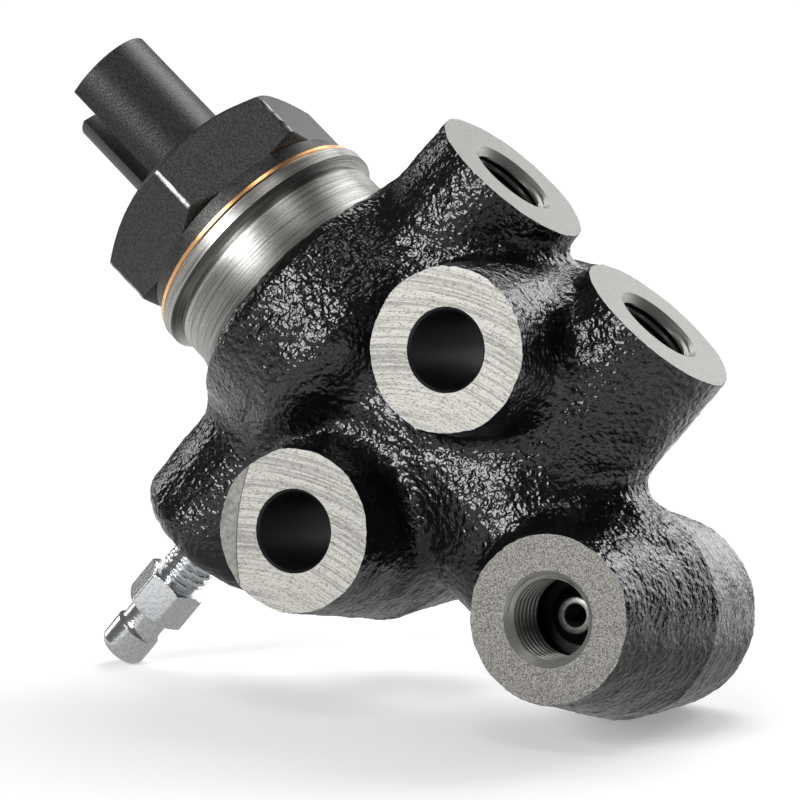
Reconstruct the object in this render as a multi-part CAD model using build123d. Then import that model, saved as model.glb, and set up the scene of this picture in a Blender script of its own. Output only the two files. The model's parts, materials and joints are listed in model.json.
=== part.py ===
from build123d import *

import os

# Load-sensing brake pressure proportioning valve: a cast-iron body with two bolt bosses, three
# pipe ports and a bleed boss, closed by a slotted hexagon plug. All lengths are millimetres.
#
# Row frame: origin midway between the two mounting bolts, in the casting's parting plane.
# The bolts run along Y. The main bore leans 47 degrees from +Z towards -X.
# Every piece is drawn in the valve's own axes and then leaned by place():
#   local Z = up the main bore, towards the plug     ("height" below)
#   local X = across the valve, towards the two side ports
#   local Y = along the mounting bolts, away from the end port's mouth

# ---- driving dimensions ----
LEAN = 47.0

# casting
HEAD_R, HEAD_BOTTOM, HEAD_TOP, HEAD_EDGE = 17.5, 11.0, 24.6, 3.0
SPINE_R = 12.0
NECK_R, GROOVE_R, LIP_R = 14.5, 14.0, 15.4
GROOVE_LOW, GROOVE_HIGH, LIP_TOP = 30.6, 31.4, 33.5

# bolt bosses
BOLT_SPACING, BOLT_HOLE_R, BOLT_CHAMFER = 28.0, 4.5, 0.3
BOSS_FACE = 20.2
BOSS_FACE_R, BOSS_MID_R, BOSS_BACK_R = 9.3, 11.2, 9.9

# ports: M10 x 1 with an inverted-flare seat at the bottom
PORT_MINOR_R, PORT_MOUTH_R, PORT_MOUTH_DEPTH = 4.475, 5.4, 1.0
PORT_RELIEF_DEPTH, PORT_RELIEF_R, PORT_FLOOR_DEPTH, PORT_SEAT_DEPTH = 7.4, 5.2, 9.4, 7.4
SEAT_TIP_R, SEAT_BASE_R, SEAT_HOLE_R, SEAT_SPIGOT_R = 2.35, 3.4, 1.3, 2.6
SEAT_SPIGOT_LENGTH = 2.0
SIDE_PORT_FACE, SIDE_PORT_R, SIDE_PORT_ROOT_R = 27.7, 10.0, 10.6
UPPER_PORT_HEIGHT, LOWER_PORT_HEIGHT = 14.4, -10.5
END_PORT_HEIGHT, END_PORT_FACE = -28.5, -17.75
END_PORT_R, END_LOBE_R, END_LOBE_BACK_R, END_LOBE_BACK, END_LOBE_EDGE = 9.43, 12.6, 10.9, 19.5, 4.5
BRIDGE_REACH, BRIDGE_HALF_DEPTH = 24.3, 6.0

# bleed boss and M6 bleed screw, 7 mm across the flats
BLEED_BOSS_R, BLEED_BOSS_END, BLEED_BOSS_EDGE = 10.1, 31.3, 3.0
BLEED_THREAD_R, BLEED_HOLE_R, BLEED_SEAT = 2.9, 2.95, 19.0
BLEED_THREAD_END, BLEED_HEX_START, BLEED_HEX_END = 36.9, 37.4, 42.4
BLEED_HEX_FLATS, BLEED_NECK_R, BLEED_BEAD_START, BLEED_BEAD_END, BLEED_BEAD_R = 7.0, 2.5, 45.0, 49.5, 2.9
BLEED_BORE_R, BLEED_CROSS_R, BLEED_CROSS, BLEED_HEX_TURN = 0.9, 0.6, 22.6, -10.0

# stepped main bore, from the plug down
PLUG_BORE_R, SPRING_BORE_R, SEAT_BORE_R, INLET_BORE_R, BYPASS_BORE_R = 12.0, 9.5, 7.0, 5.5, 4.0
PLUG_BORE_FLOOR, SPRING_BORE_FLOOR, SEAT_BORE_FLOOR, INLET_BORE_FLOOR = 22.0, 5.0, -3.0, -17.0
BYPASS_BORE_FLOOR = -33.0
PASSAGE_R = 1.5
RING_GROOVE_R, RING_GROOVE_LOW, RING_GROOVE_HIGH = 6.05, -15.6, -14.4

# guide plug: 27 mm hexagon, slotted fork for the sensing lever
WASHER_TOP, WASHER_R = 34.2, 15.0
COLLAR_R, HEX_LOW, HEX_TOP, HEX_FLATS = 14.0, 36.2, 44.8, 27.0
HEX_CORNER_LOW, HEX_CORNER_TOP, HEX_CROWN_R = 37.1, 43.1, 12.7
HEX_TURN = 37.2
FORK_R, LONG_TINE_TIP, SHORT_TINE_TIP, TIP_SLOPE, FORK_EDGE = 6.5, 63.0, 60.0, 7.5, 0.4
SLOT_WIDTH, SLOT_FLOOR, SLOT_TURN = 2.2, 45.6, -27.0
SHANK_R, SHANK_END = 11.95, 24.5
SEAL_POCKET_R, SEAL_POCKET_TOP = 5.5, 30.0
DUST_POCKET_R, DUST_POCKET_LOW = 3.9, 43.4

# control piston and what it carries
ROD_R, ROD_CLEARANCE, ROD_TIP = 2.5, 0.05, 49.0
FLANGE_R, FLANGE_LOW, FLANGE_HIGH = 4.2, 9.0, 11.0
VALVE_HEAD_R, VALVE_HEAD_LOW, VALVE_HEAD_HIGH = 3.6, -5.0, -2.0
SPRING_SEAT_R, SPRING_SEAT_HIGH = 8.8, 12.2
SPRING_MEAN_R, SPRING_WIRE_R, SPRING_TURNS = 7.6, 0.7, 4.5
SEAT_RING_LOW, SEAT_RING_HIGH = 0.0, 3.0
STATIC_GAP = 0.05

# bypass piston in the lower bore
BYPASS_R, BYPASS_LOW, BYPASS_HIGH = 3.95, -27.4, -15.8
BYPASS_GROOVE_R, BYPASS_STEM_R, BYPASS_STEM_TOP = 2.8, 1.5, -10.0
CUP_HEIGHT, UPPER_CUP_LOW, LOWER_CUP_LOW = 2.0, -19.6, -25.6
BYPASS_SPRING_MEAN_R, BYPASS_SPRING_WIRE_R, BYPASS_SPRING_TURNS = 2.9, 0.4, 3.0

LOW = (Align.CENTER, Align.CENTER, Align.MIN)


# ---- drawing helpers, all about the local Z axis ----
def bar(radius, low, high):
    return Pos(0, 0, low) * Cylinder(radius, high - low, align=LOW)


def taper(low_radius, high_radius, low, high):
    return Pos(0, 0, low) * Cone(low_radius, high_radius, high - low, align=LOW)


def tube(outer, inner, low, high):
    return bar(outer, low, high) - bar(inner, low, high)


def rounded_end(shape, radius, top=True):
    edges = shape.edges().group_by(Axis.Z)[-1 if top else 0]
    return fillet(edges, radius)


def hexagon(flats, low, high):
    outline = RegularPolygon(radius=flats / 2, side_count=6, major_radius=False)
    return Pos(0, 0, low) * extrude(outline, amount=high - low)


def coil(mean_radius, wire_radius, low, high, turns):
    """A helical spring whose wire just touches the planes low and high."""
    rise = high - low - 2 * wire_radius
    path = Helix(pitch=rise / turns, height=rise, radius=mean_radius)
    wire = Plane(origin=path @ 0, z_dir=path % 0) * Circle(wire_radius)
    return Pos(0, 0, low + wire_radius) * sweep(wire, path=path)


# ---- placing helpers ----
def across(shape, height):
    """Turn a shape drawn up Z so that it runs along local +X at the given height."""
    return Pos(0, 0, height) * Rot(0, 90, 0) * shape


def across_back(shape, height):
    """The same, running along local -X."""
    return Pos(0, 0, height) * Rot(0, -90, 0) * shape


def through(shape, side, height):
    """Turn a shape drawn up Z so that it runs along local +Y."""
    return Pos(side, 0, height) * Rot(-90, 0, 0) * shape


def place(shape):
    """Lean a finished piece from the valve's own axes into the row frame."""
    return Rot(0, -LEAN, 0) * shape


# ---- valve body ----
def bolt_boss():
    front = taper(BOSS_FACE_R, BOSS_MID_R, -BOSS_FACE, 0)
    back = taper(BOSS_MID_R, BOSS_BACK_R, 0, BOSS_FACE)
    return front + back


def bolt_hole():
    edge_r = BOLT_HOLE_R + BOLT_CHAMFER
    hole = bar(BOLT_HOLE_R, -BOSS_FACE, BOSS_FACE)
    front_edge = taper(edge_r, BOLT_HOLE_R, -BOSS_FACE, -BOSS_FACE + BOLT_CHAMFER)
    back_edge = taper(BOLT_HOLE_R, edge_r, BOSS_FACE - BOLT_CHAMFER, BOSS_FACE)
    return hole + front_edge + back_edge


def end_lobe():
    front = taper(END_PORT_R, END_LOBE_R, END_PORT_FACE, 0)
    back = taper(END_LOBE_R, END_LOBE_BACK_R, 0, END_LOBE_BACK)
    return front + rounded_end(back, END_LOBE_EDGE)


def port_hole(face, reach):
    """A port drilled down from z = face to z = reach: mouth cone, thread bore, relief, spigot, passage."""
    floor = face - PORT_FLOOR_DEPTH
    hole = bar(PORT_MINOR_R, floor, face)
    hole += bar(PORT_RELIEF_R, floor, face - PORT_RELIEF_DEPTH)
    hole += taper(PORT_MINOR_R, PORT_MOUTH_R, face - PORT_MOUTH_DEPTH, face)
    hole += bar(SEAT_SPIGOT_R, floor - SEAT_SPIGOT_LENGTH, floor)
    hole += bar(PASSAGE_R, reach, floor)
    return hole


def bleed_hole():
    hole = bar(BLEED_HOLE_R, BLEED_SEAT + BLEED_HOLE_R, BLEED_BOSS_END)
    hole += taper(PASSAGE_R, BLEED_HOLE_R, BLEED_SEAT + PASSAGE_R, BLEED_SEAT + BLEED_HOLE_R)
    hole += bar(PASSAGE_R, SPRING_BORE_R - 1, BLEED_SEAT + PASSAGE_R)
    return hole


def main_bore():
    bore = bar(PLUG_BORE_R, PLUG_BORE_FLOOR, LIP_TOP)
    bore += bar(SPRING_BORE_R, SPRING_BORE_FLOOR, PLUG_BORE_FLOOR)
    bore += bar(SEAT_BORE_R, SEAT_BORE_FLOOR, SPRING_BORE_FLOOR)
    bore += bar(INLET_BORE_R, INLET_BORE_FLOOR, SEAT_BORE_FLOOR)
    bore += bar(RING_GROOVE_R, RING_GROOVE_LOW, RING_GROOVE_HIGH)
    bore += bar(BYPASS_BORE_R, BYPASS_BORE_FLOOR, INLET_BORE_FLOOR)
    return bore


def valve_body():
    half_spacing = BOLT_SPACING / 2
    head = bar(HEAD_R, HEAD_BOTTOM, HEAD_TOP)
    head = rounded_end(rounded_end(head, HEAD_EDGE), HEAD_EDGE, top=False)
    casting = head + bar(SPINE_R, END_PORT_HEIGHT, HEAD_BOTTOM + HEAD_EDGE)
    casting += through(end_lobe(), 0, END_PORT_HEIGHT)
    for height in (UPPER_PORT_HEIGHT, LOWER_PORT_HEIGHT):
        casting += across(taper(SIDE_PORT_ROOT_R, SIDE_PORT_R, 0, SIDE_PORT_FACE), height)
    bleed_boss = rounded_end(bar(BLEED_BOSS_R, 0, BLEED_BOSS_END), BLEED_BOSS_EDGE)
    casting += across_back(bleed_boss, UPPER_PORT_HEIGHT)
    for side in (-half_spacing, half_spacing):
        casting += through(bolt_boss(), side, 0)
    bridge_length = UPPER_PORT_HEIGHT - LOWER_PORT_HEIGHT
    bridge_height = (UPPER_PORT_HEIGHT + LOWER_PORT_HEIGHT) / 2
    bridge = Box(BRIDGE_REACH, 2 * BRIDGE_HALF_DEPTH, bridge_length)
    casting += Pos(BRIDGE_REACH / 2, 0, bridge_height) * bridge

    neck = bar(NECK_R, HEAD_TOP - 1, GROOVE_LOW) + bar(GROOVE_R, GROOVE_LOW, GROOVE_HIGH)
    casting += neck + bar(LIP_R, GROOVE_HIGH, LIP_TOP)

    body = casting - main_bore()
    for side in (-half_spacing, half_spacing):
        body -= through(bolt_hole(), side, 0)
    body -= across(port_hole(SIDE_PORT_FACE, SPRING_BORE_R - 1), UPPER_PORT_HEIGHT)
    body -= across(port_hole(SIDE_PORT_FACE, INLET_BORE_R - 1), LOWER_PORT_HEIGHT)
    body -= through(Rot(180, 0, 0) * port_hole(-END_PORT_FACE, BYPASS_BORE_R - 1), 0, END_PORT_HEIGHT)
    body -= across_back(bleed_hole(), UPPER_PORT_HEIGHT)
    return body


# ---- plug and its seals ----
def tine(tip, side):
    """What stands on one side of the fork's slot. Its end slopes down towards local -Y."""
    above = Pos(0, 0, tip) * Rot(TIP_SLOPE, 0, 0) * Box(4 * FORK_R, 4 * FORK_R, 10, align=LOW)
    whole = rounded_end(bar(FORK_R, SLOT_FLOOR, tip + 2) - above, FORK_EDGE)
    beside_slot = Pos(side * (SLOT_WIDTH / 2 + FORK_R), 0, SLOT_FLOOR)
    beside_slot *= Box(2 * FORK_R, 4 * FORK_R, 30, align=LOW)
    return whole & (Rot(0, 0, SLOT_TURN) * beside_slot)


def guide_plug():
    corner_r = HEX_FLATS / 2 / cos_30()
    crown_profile = Polyline(
        (0, 0, HEX_LOW), (COLLAR_R, 0, HEX_LOW), (corner_r, 0, HEX_CORNER_LOW),
        (corner_r, 0, HEX_CORNER_TOP), (HEX_CROWN_R, 0, HEX_TOP), (0, 0, HEX_TOP), close=True,
    )
    crown = revolve(make_face(crown_profile), Axis.Z)
    head = (Rot(0, 0, HEX_TURN) * hexagon(HEX_FLATS, HEX_LOW, HEX_TOP)) & crown
    collar = bar(COLLAR_R, WASHER_TOP, HEX_LOW)
    shank = bar(SHANK_R, SHANK_END, WASHER_TOP)
    fork_root = bar(FORK_R, HEX_TOP, SLOT_FLOOR)
    plug = head + collar + shank + fork_root + tine(LONG_TINE_TIP, 1) + tine(SHORT_TINE_TIP, -1)
    plug -= bar(ROD_R + ROD_CLEARANCE, SHANK_END, LONG_TINE_TIP + 2)
    plug -= bar(SEAL_POCKET_R, SHANK_END, SEAL_POCKET_TOP)
    plug -= bar(DUST_POCKET_R, DUST_POCKET_LOW, SLOT_FLOOR)
    return plug


def cos_30():
    return 3 ** 0.5 / 2


def rod_cup_seal():
    """A U-cup: a ring with a groove open towards the pressure side below."""
    low, high = SHANK_END + 1.6, SEAL_POCKET_TOP - 0.1
    seal = tube(SEAL_POCKET_R - STATIC_GAP, ROD_R + 0.02, low, high)
    return seal - tube(SEAL_POCKET_R - 1.0, ROD_R + 0.9, low, low + 1.8)


def bleed_screw():
    """Drawn from its seat cone outwards, z measured from the main bore's axis."""
    tip = BLEED_SEAT + 1.6
    cone_end = BLEED_SEAT + BLEED_THREAD_R + 0.1
    screw = taper(1.5, BLEED_THREAD_R, tip, cone_end)
    screw += bar(BLEED_THREAD_R, cone_end, BLEED_THREAD_END)
    screw += bar(BLEED_NECK_R, BLEED_THREAD_END, BLEED_HEX_START)
    screw += Rot(0, 0, BLEED_HEX_TURN) * hexagon(BLEED_HEX_FLATS, BLEED_HEX_START, BLEED_HEX_END)
    screw += bar(BLEED_NECK_R, BLEED_HEX_END, BLEED_BEAD_START)
    bead = bar(BLEED_BEAD_R, BLEED_BEAD_START, BLEED_BEAD_END)
    screw += rounded_end(bead, 1.2)
    screw -= bar(BLEED_BORE_R, BLEED_CROSS, BLEED_BEAD_END)
    cross_hole = Rot(0, 90, 0) * Cylinder(BLEED_CROSS_R, 2 * BLEED_THREAD_R + 1)
    return screw - Pos(0, 0, BLEED_CROSS) * cross_hole


def flare_seat(face):
    """Drawn below z = face: a 45-degree cone on a plain spigot, with a hole through."""
    floor = face - PORT_FLOOR_DEPTH
    tip = face - PORT_SEAT_DEPTH
    cone_foot = tip - (SEAT_BASE_R - SEAT_TIP_R)
    seat = taper(SEAT_BASE_R, SEAT_TIP_R, cone_foot, tip)
    seat += bar(SEAT_BASE_R, floor, cone_foot)
    seat += bar(SEAT_SPIGOT_R, floor - SEAT_SPIGOT_LENGTH, floor)
    return seat - bar(SEAT_HOLE_R, floor - SEAT_SPIGOT_LENGTH, tip)


# ---- inside the main bore ----
def control_piston():
    piston = bar(ROD_R, VALVE_HEAD_HIGH, ROD_TIP - 0.5)
    piston += taper(ROD_R, ROD_R - 0.5, ROD_TIP - 0.5, ROD_TIP)
    piston += bar(FLANGE_R, FLANGE_LOW, FLANGE_HIGH)
    piston += bar(VALVE_HEAD_R, VALVE_HEAD_LOW, VALVE_HEAD_HIGH)
    return piston


def bypass_piston():
    piston = bar(BYPASS_R, BYPASS_LOW, BYPASS_HIGH) + bar(BYPASS_STEM_R, BYPASS_HIGH, BYPASS_STEM_TOP)
    for low in (UPPER_CUP_LOW, LOWER_CUP_LOW):
        piston -= tube(BYPASS_R, BYPASS_GROOVE_R, low, low + CUP_HEIGHT)
    return piston


def bypass_cup(low):
    return tube(BYPASS_BORE_R - 0.02, BYPASS_GROOVE_R + 0.02, low + 0.1, low + CUP_HEIGHT - 0.1)


def retaining_ring():
    ring = tube(RING_GROOVE_R - STATIC_GAP, 2.4, RING_GROOVE_LOW + 0.1, RING_GROOVE_HIGH - 0.1)
    gap = Pos(4.2, 0, (RING_GROOVE_LOW + RING_GROOVE_HIGH) / 2) * Box(4.4, 1.6, 2)
    return ring - gap


seat_ring_r = SEAT_BORE_R - STATIC_GAP

pieces = {
    "valve_body": valve_body(),
    "guide_plug": guide_plug(),
    "copper_washer": tube(WASHER_R, PLUG_BORE_R + 0.1, LIP_TOP, WASHER_TOP),
    "rod_cup_seal": rod_cup_seal(),
    "seal_retainer": tube(SEAL_POCKET_R - STATIC_GAP, ROD_R + 0.3, SHANK_END, SHANK_END + 1.5),
    "rod_dust_seal": tube(
        DUST_POCKET_R - STATIC_GAP, ROD_R + 0.02, DUST_POCKET_LOW + STATIC_GAP, SLOT_FLOOR - 0.2
    ),
    "control_piston": control_piston(),
    "spring_seat": tube(SPRING_SEAT_R, ROD_R + STATIC_GAP, FLANGE_HIGH, SPRING_SEAT_HIGH),
    "piston_spring": coil(
        SPRING_MEAN_R, SPRING_WIRE_R, SPRING_SEAT_HIGH + 0.05, SHANK_END - 0.05, SPRING_TURNS
    ),
    "seat_retainer": tube(seat_ring_r, ROD_R + 0.8, SEAT_RING_HIGH, SPRING_BORE_FLOOR),
    "valve_seat_ring": tube(seat_ring_r, ROD_R + 0.4, SEAT_RING_LOW, SEAT_RING_HIGH),
    "seat_support_ring": tube(seat_ring_r, VALVE_HEAD_R + 0.6, SEAT_BORE_FLOOR, SEAT_RING_LOW),
    "bypass_piston": bypass_piston(),
    "bypass_cup_upper": bypass_cup(UPPER_CUP_LOW),
    "bypass_cup_lower": bypass_cup(LOWER_CUP_LOW),
    "bypass_spring": coil(
        BYPASS_SPRING_MEAN_R, BYPASS_SPRING_WIRE_R,
        BYPASS_BORE_FLOOR + 0.05, BYPASS_LOW - 0.05, BYPASS_SPRING_TURNS,
    ),
    "bypass_retaining_ring": retaining_ring(),
    "upper_port_seat": across(flare_seat(SIDE_PORT_FACE), UPPER_PORT_HEIGHT),
    "lower_port_seat": across(flare_seat(SIDE_PORT_FACE), LOWER_PORT_HEIGHT),
    "end_port_seat": through(Rot(180, 0, 0) * flare_seat(-END_PORT_FACE), 0, END_PORT_HEIGHT),
    "bleed_screw": across_back(bleed_screw(), UPPER_PORT_HEIGHT),
}

os.makedirs("parts", exist_ok=True)
for name, shape in pieces.items():
    export_step(place(shape), f"parts/{name}.step")
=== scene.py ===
import itertools
import json
import math

import bpy
import numpy as np
from mathutils import Matrix, Vector


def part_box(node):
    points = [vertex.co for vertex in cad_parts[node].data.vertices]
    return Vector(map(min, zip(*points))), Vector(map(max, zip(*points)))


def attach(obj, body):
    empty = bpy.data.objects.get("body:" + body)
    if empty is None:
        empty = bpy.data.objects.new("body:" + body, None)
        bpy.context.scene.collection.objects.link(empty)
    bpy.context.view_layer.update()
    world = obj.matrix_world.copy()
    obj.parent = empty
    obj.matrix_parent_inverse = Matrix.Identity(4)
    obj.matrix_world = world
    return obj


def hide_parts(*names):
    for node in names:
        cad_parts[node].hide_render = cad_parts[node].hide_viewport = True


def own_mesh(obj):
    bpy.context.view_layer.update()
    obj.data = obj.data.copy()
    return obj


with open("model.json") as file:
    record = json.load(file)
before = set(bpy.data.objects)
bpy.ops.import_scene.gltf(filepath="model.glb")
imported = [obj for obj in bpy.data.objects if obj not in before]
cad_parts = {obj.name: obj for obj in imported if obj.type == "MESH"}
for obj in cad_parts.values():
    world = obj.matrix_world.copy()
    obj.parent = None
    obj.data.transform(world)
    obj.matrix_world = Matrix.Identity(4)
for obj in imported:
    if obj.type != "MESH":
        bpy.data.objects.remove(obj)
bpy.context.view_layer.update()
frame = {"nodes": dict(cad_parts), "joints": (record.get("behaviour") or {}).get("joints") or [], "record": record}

# Looks of the load-sensing brake valve. Shapes are drawn in the valve's own axes, in millimetres:
#   Z up the main bore towards the plug, X towards the two side ports, Y along the mounting bolts.
# The frame's joints and mounts say how those axes lie in the row frame and where the ports are.
MM = 0.001
TAU = 2 * math.pi


# ---------------------------------------------------------------- what the frame says
mounts = {m["name"]: m for m in frame["record"]["mounts"]}
joints = {j["name"]: j for j in frame["joints"]}
bore_axis = Vector(joints["control_piston_slide"]["axis"]).normalized()
port_axis = Vector(mounts["upper_port"]["axis"]).normalized()
bolt_axis = bore_axis.cross(port_axis)
VALVE_TO_ROW = Matrix((port_axis, bolt_axis, bore_axis)).transposed()


def in_valve_mm(point):
    """A row-frame point in metres, in the valve's own axes in millimetres."""
    return VALVE_TO_ROW.transposed() @ Vector(point) / MM


bolt_dims = mounts["mounting_bolts"]["dims"]
BOLT_SIDE = bolt_dims["pcd_mm"] / 2
BOLT_HOLE_R = bolt_dims["hole_r_mm"]
BOSS_FACE = -in_valve_mm(mounts["front_boss_face"]["pos_m"]).y
UPPER_PORT_Z = in_valve_mm(mounts["upper_port"]["pos_m"]).z
LOWER_PORT_Z = in_valve_mm(mounts["lower_port"]["pos_m"]).z
END_PORT_Z = in_valve_mm(mounts["end_port"]["pos_m"]).z
PORT_MINOR_R = mounts["end_port"]["dims"]["r_mm"]

# ---------------------------------------------------------------- sizes in millimetres
VOXEL = 0.3                     # grid step of the casting's mesh
BLEND = 3.0                     # the fillets between its bosses
MACHINED_EDGE, CORE_EDGE = 0.3, 1.0     # rounding of ends that are milled off, and of the parts in between
FLASH_HEIGHT, FLASH_REACH = 0.1, 0.6    # the low ridge left along the mould's parting line
HEAD_R, HEAD_LOW, HEAD_HIGH, HEAD_TOP_EDGE, HEAD_FOOT_EDGE = 17.3, 8.5, 24.6, 2.5, 6.0
SPINE_R = 12.0
BOSS_FACE_R, BOSS_MID_R, BOSS_BACK_R = 9.3, 11.2, 9.9
SIDE_PORT_FACE, SIDE_PORT_R, SIDE_PORT_ROOT_R = 27.7, 10.0, 10.6
END_PORT_FACE, END_PORT_R = 17.75, 9.43
END_LOBE_R, END_LOBE_BACK_R, END_LOBE_BACK, END_LOBE_EDGE = 12.6, 10.9, 19.5, 4.5
END_LOBE_LEAN_X, END_LOBE_LEAN_Z = -0.85, -0.8     # how far the back end leans off the port's axis
END_LOBE_FILLET = 1.2
BLEED_BOSS_R, BLEED_BOSS_END, BLEED_BOSS_EDGE = 10.1, 31.3, 3.0
BRIDGE_REACH, BRIDGE_HALF_DEPTH = 17.6, 5.0
WEB_LOW, WEB_HALF_DEPTH = -9.6, 8.0
PARTING_Y = 0.8
CAST_BOX = ((-34.0, 31.0), (-23.5, 23.5), (-44.0, 27.5))
SAND = (                        # bumps left by the mould: height, wavelength, spread, seed
    (0.05, 5.0, 0.6, 3),
    (0.035, 1.1, 0.4, 5),
)
STOCK = 1.2                     # cast allowance that the milling takes off each face

PITCH = 1.0                     # of the ports' M10 threads and of the bleed screw's M6 thread
PORT_MOUTH_R, PORT_MAJOR_R, PORT_RELIEF, PORT_RELIEF_R, PORT_FLOOR = 5.4, 5.05, 7.4, 5.2, 9.4
SEAT_TIP, SEAT_TIP_R, SEAT_FOOT_R, SEAT_HOLE_R, SEAT_SPIGOT_R = 7.4, 2.05, 3.4, 1.3, 2.6

NECK_ROOT_Z, NECK_R, NECK_FLARE_R, NECK_FLARE_TOP = 22.5, 14.5, 15.3, 27.5
GROOVE_Z, GROOVE_R, LIP_Z, LIP_R, LIP_TOP = 30.6, 14.3, 31.4, 15.4, 33.5

WASHER_TOP, WASHER_R, WASHER_HOLE_R = 34.2, 15.05, 12.1
COLLAR_R, HEX_LOW, HEX_TOP, HEX_FLATS, HEX_STOCK_R = 14.0, 36.2, 44.8, 27.0, 15.45
HEX_CORNER_LOW, HEX_CORNER_TOP, HEX_CROWN_R, HEX_TURN = 37.1, 43.1, 12.7, math.radians(37.2)
FORK_R, LONG_TINE_TIP, SHORT_TINE_TIP, TIP_SLOPE = 6.5, 63.0, 60.0, math.radians(7.5)
SLOT_WIDTH, SLOT_FLOOR, SLOT_TURN = 2.2, 45.6, math.radians(-27)
SHANK_R, SHANK_END, ROD_HOLE_R, SEAL_POCKET_R, SEAL_POCKET_TOP = 11.95, 24.5, 2.55, 5.5, 30.0
DUST_POCKET_R, DUST_POCKET_LOW = 3.9, 43.4

BLEED_HOLE_R, BLEED_SEAT, BLEED_TIP, BLEED_TIP_R = 2.96, 19.0, 20.6, 1.5
BLEED_THREAD_R, BLEED_ROOT_R, BLEED_THREAD_END = 2.92, 2.5, 36.7
BLEED_HEX, BLEED_HEX_START, BLEED_HEX_END, BLEED_HEX_STOCK_R = 7.0, 37.3, 42.4, 4.03
BLEED_HEX_TURN = math.radians(-10)
BLEED_NECK_R, BLEED_BEAD_START, BLEED_BEAD_END, BLEED_BEAD_R = 2.5, 45.0, 49.5, 2.9
BLEED_BEAD_ROUND, BLEED_BORE_R, BLEED_CROSS_R, BLEED_CROSS = 1.2, 0.9, 0.6, 22.6

PLUG_BORE_R, SPRING_BORE_R, SEAT_BORE_R, INLET_BORE_R, BYPASS_BORE_R = 12.0, 9.5, 7.0, 5.5, 4.0
PLUG_BORE_END, SPRING_BORE_END, SEAT_BORE_END, INLET_BORE_END, BYPASS_BORE_END = 22.0, 5.0, -3.0, -17.0, -33.0
PASSAGE_R = 1.5
PISTON_SPRING_R, PISTON_SPRING_WIRE_R, PISTON_SPRING_TURNS, SPRING_SEAT_TOP = 7.6, 0.7, 4.5, 12.2
BYPASS_SPRING_R, BYPASS_SPRING_WIRE_R, BYPASS_SPRING_TURNS, BYPASS_PISTON_LOW = 2.9, 0.4, 3.0, -27.4
SPRING_GAP = 0.05                       # left free at both ends of a spring

CUTTER_X, CUTTER_Z = -24.5, -13.3       # the face cutter's centre from each bolt boss
SWEEP_R, SWEEP_X, SWEEP_Z = 25.0, -3.1, -14.0       # the cutter's sweep over the left front boss
SLIVER_HEIGHT = 0.12                    # how proud it leaves that boss's outer rim

# ---------------------------------------------------------------- floor, room and camera
FLOOR_GLOW = 0.3                        # light the floor gives off, which thins the part's shadow
FLOOR_FADE = (0.05, 0.135)              # metres from the part's middle where it turns to plain white
FLOOR_WHITE, FLOOR_HALF_SIZE = 1.05, 3.0    # brightness of that white, and metres from middle to edge
FLOOR_SHADE = (0.05, 0.08)              # and, as metal and paint reflect it, where its painted shadow ends
FLOOR_POOL = (0.10, 0.16)               # and where the painted pool of light round it ends
FLOOR_SHADED, FLOOR_LIT, FLOOR_FAR = 0.5, 1.4, 0.65     # brightness of the three zones: painted shadow, painted pool of light, far floor
ROOM_LOW, ROOM_HIGH = 0.02, 0.08        # what metal and paint reflect below and above the horizon
# The photo's viewpoint, fitted to the part's round faces: lens, aim point in the row frame, angles and
# distance, in millimetres and degrees.
LENS_MM, SENSOR_MM, CLIP_START = 182.7, 36, 0.05
CAMERA_AIM, CAMERA_AZIMUTH, CAMERA_ELEVATION, CAMERA_DISTANCE = (-6.21, 0, 4.29), 26.58, 0.92, 474.6


# ---------------------------------------------------------------- mesh helpers
def add_mesh(name, points, faces, material):
    mesh = bpy.data.meshes.new(name)
    mesh.from_pydata(np.asarray(points).tolist(), [], [list(map(int, f)) for f in faces])
    mesh.materials.append(material)
    piece = bpy.data.objects.new(name, mesh)
    bpy.context.scene.collection.objects.link(piece)
    return piece


def column(name, rows, material, sides=96, closed=False):
    """A solid of revolution about Z. Each row is (z, radius), where radius may be an array over the angle.
    The two ends are capped, or joined to each other if closed, which makes a ring."""
    angle = np.arange(sides) * TAU / sides
    rings = []
    for z, radius in rows:
        radius = radius * np.ones(sides)
        rings.append(np.stack([radius * np.cos(angle), radius * np.sin(angle), z * np.ones(sides)], 1))
    count = len(rings)
    faces = []
    for i in range(count if closed else count - 1):
        low, high = i * sides, (i + 1) % count * sides
        for j in range(sides):
            k = (j + 1) % sides
            faces.append((low + j, low + k, high + k, high + j))
    if not closed:
        faces.append(range(sides - 1, -1, -1))
        faces.append(range((count - 1) * sides, count * sides))
    return add_mesh(name, np.concatenate(rings), faces, material)


def block(name, low, high, material):
    x, y, z = [sorted(pair) for pair in zip(low, high)]
    points = [(x[i], y[j], z[k]) for i in (0, 1) for j in (0, 1) for k in (0, 1)]
    faces = [(0, 1, 3, 2), (4, 6, 7, 5), (0, 4, 5, 1), (2, 3, 7, 6), (0, 2, 6, 4), (1, 5, 7, 3)]
    return add_mesh(name, points, faces, material)


def turned(piece, matrix):
    piece.data.transform(matrix)
    return piece


def shifted(piece, x=0, y=0, z=0):
    return turned(piece, Matrix.Translation((x, y, z)))


def spun(piece, angle, axis):
    return turned(piece, Matrix.Rotation(angle, 4, axis))


def combine(piece, tool, operation):
    """Applies a boolean with a tool that is used up. Cut faces keep the tool's material."""
    change = piece.modifiers.new("change", "BOOLEAN")
    change.object = tool
    change.operation = operation
    change.solver = "MANIFOLD"
    change.material_mode = "TRANSFER"
    bake_modifiers(piece)
    bpy.data.objects.remove(tool)
    return piece


def cut(piece, tool):
    return combine(piece, tool, "DIFFERENCE")


def fuse(piece, tool):
    return combine(piece, tool, "UNION")


def bake_modifiers(piece):
    depsgraph = bpy.context.evaluated_depsgraph_get()
    old = piece.data
    piece.data = bpy.data.meshes.new_from_object(piece.evaluated_get(depsgraph), depsgraph=depsgraph)
    piece.modifiers.clear()
    bpy.data.meshes.remove(old)


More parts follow.
